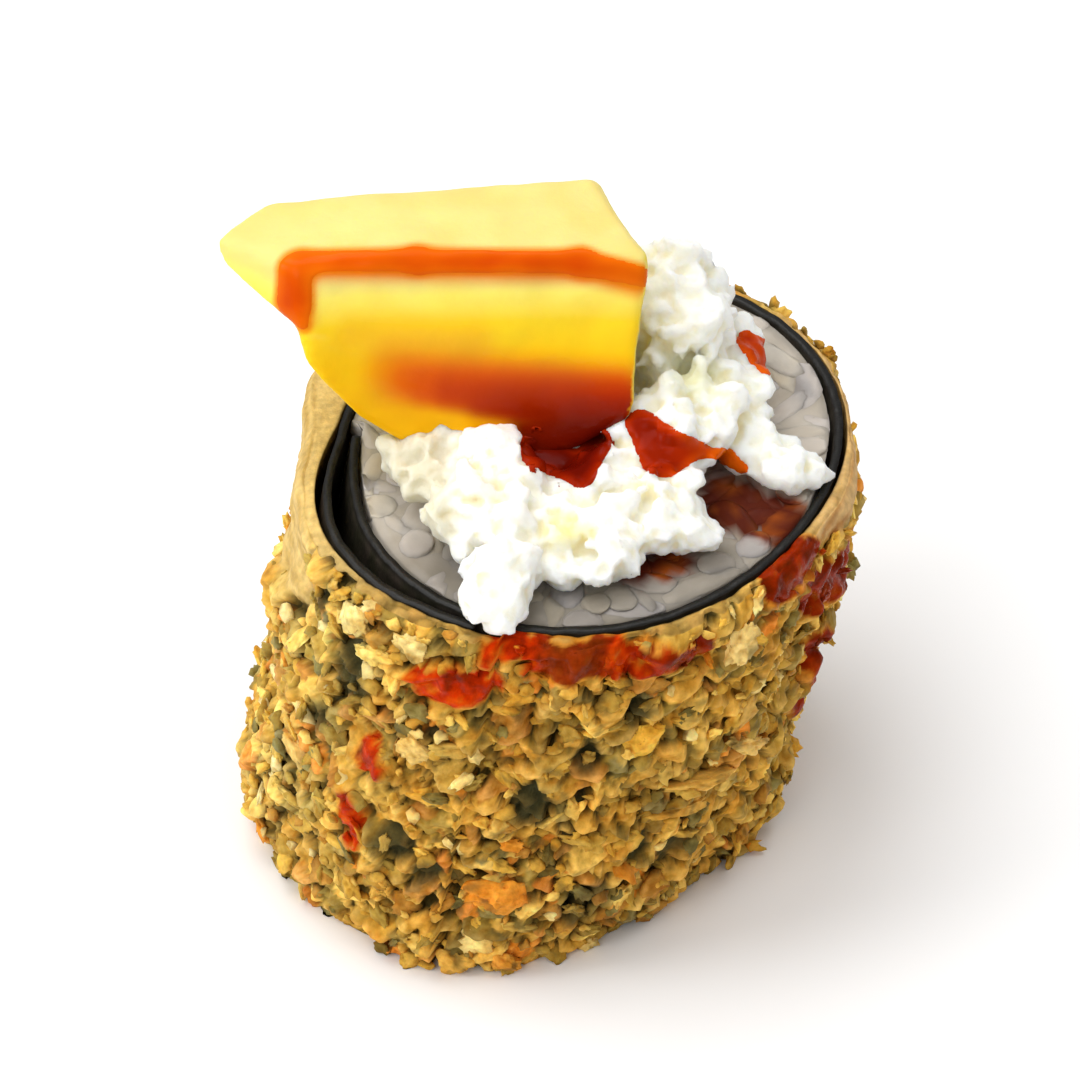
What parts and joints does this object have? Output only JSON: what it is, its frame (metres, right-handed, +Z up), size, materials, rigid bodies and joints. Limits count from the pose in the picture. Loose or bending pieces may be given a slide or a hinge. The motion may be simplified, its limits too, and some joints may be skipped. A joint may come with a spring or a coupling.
{
  "type": "fried hosomaki piece with cream cheese and avocado",
  "caption": "Short crumb-coated sushi roll standing on its cut end, with nori and rice at both cuts, topped with cream cheese curds and an avocado chunk.",
  "frame": {"origin": "middle of the nori ring at the lower cut, on the surface the piece stands on", "axes": "+Z up from the lower cut to the upper one, +X the way the roll leans, -Y the side the avocado's sloping face looks to"},
  "size_m": [0.0359, 0.034, 0.0396],
  "materials": {
    "crumb_coat": "matte",
    "nori": "satin",
    "rice": "satin",
    "cream_cheese": "matte",
    "avocado": "satin"
  },
  "bodies": {
    "root": {"crumb_coat": "crumb_coat", "nori": "nori", "rice": "rice", "cream_cheese": "cream_cheese", "avocado": "avocado"}
  },
  "joints": []
}
